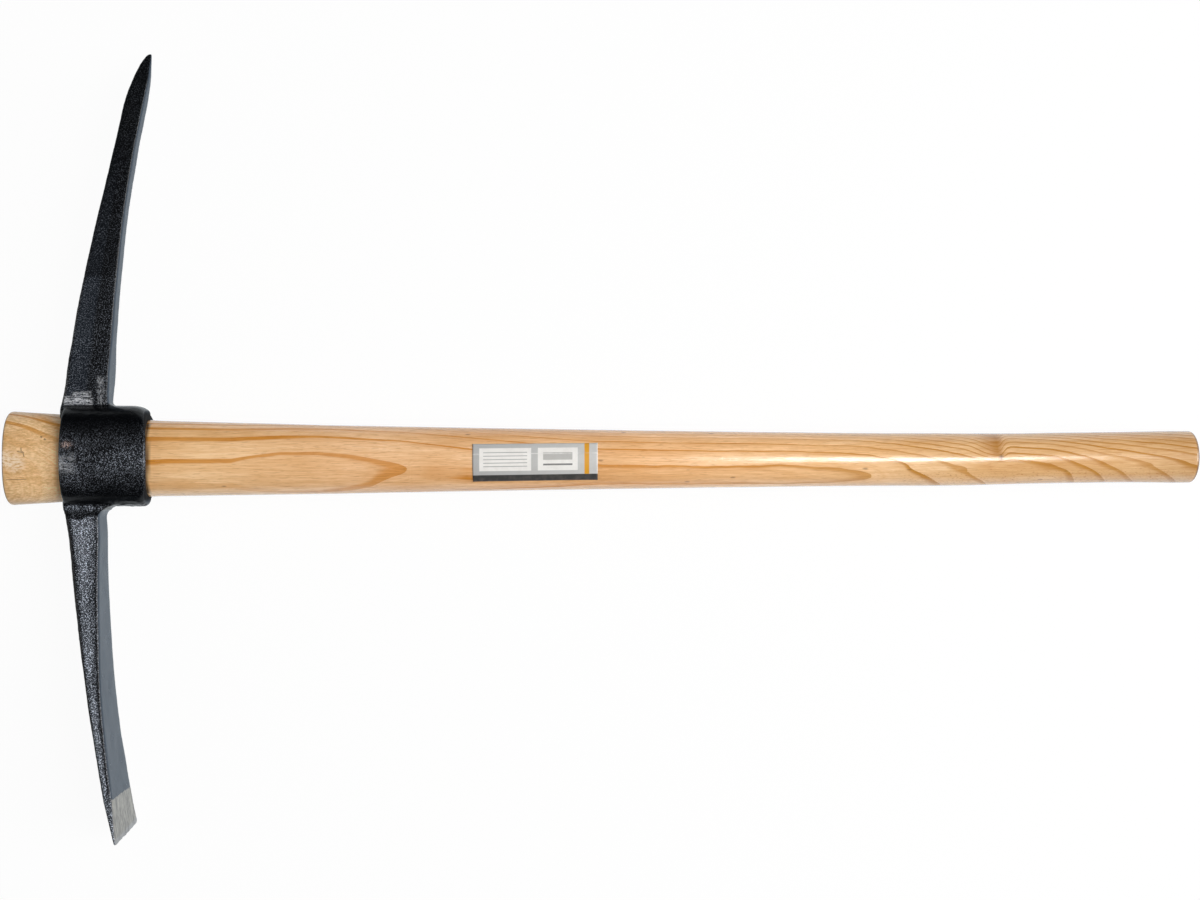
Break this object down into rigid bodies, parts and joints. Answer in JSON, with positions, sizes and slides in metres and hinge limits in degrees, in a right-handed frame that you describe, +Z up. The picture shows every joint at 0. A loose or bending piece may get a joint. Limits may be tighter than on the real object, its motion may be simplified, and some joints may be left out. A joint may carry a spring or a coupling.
{
  "type": "pick axe",
  "caption": "Pick axe with a forged head, a point on one arm and a narrow chisel on the other, slipped over a flared oval wooden handle with a round grip.",
  "frame": {"origin": "on the ground under the middle of the tool's box, with the tool lying flat on its side", "axes": "+X along the handle from the head to the grip, +Y towards the pick's point, +Z up, square to the plane of the arms"},
  "size_m": [0.9, 0.598, 0.0571],
  "materials": {
    "varnished_ash": "clear varnish over pale ash with brown growth rings",
    "black_forging": "gloss black paint over a rough forging, bare ground steel at the chisel's edge",
    "label_film": "printed film label, silver grey with plain dark and white panels"
  },
  "bodies": {
    "handle": {"handle": "varnished_ash", "label": "label_film"},
    "head": {"pick_head": "black_forging"}
  },
  "joints": [
    {"name": "head_slide", "type": "slide", "parent": "handle", "child": "head", "axis": [1, 0, 0], "range_m": [0, 0.87]}
  ]
}
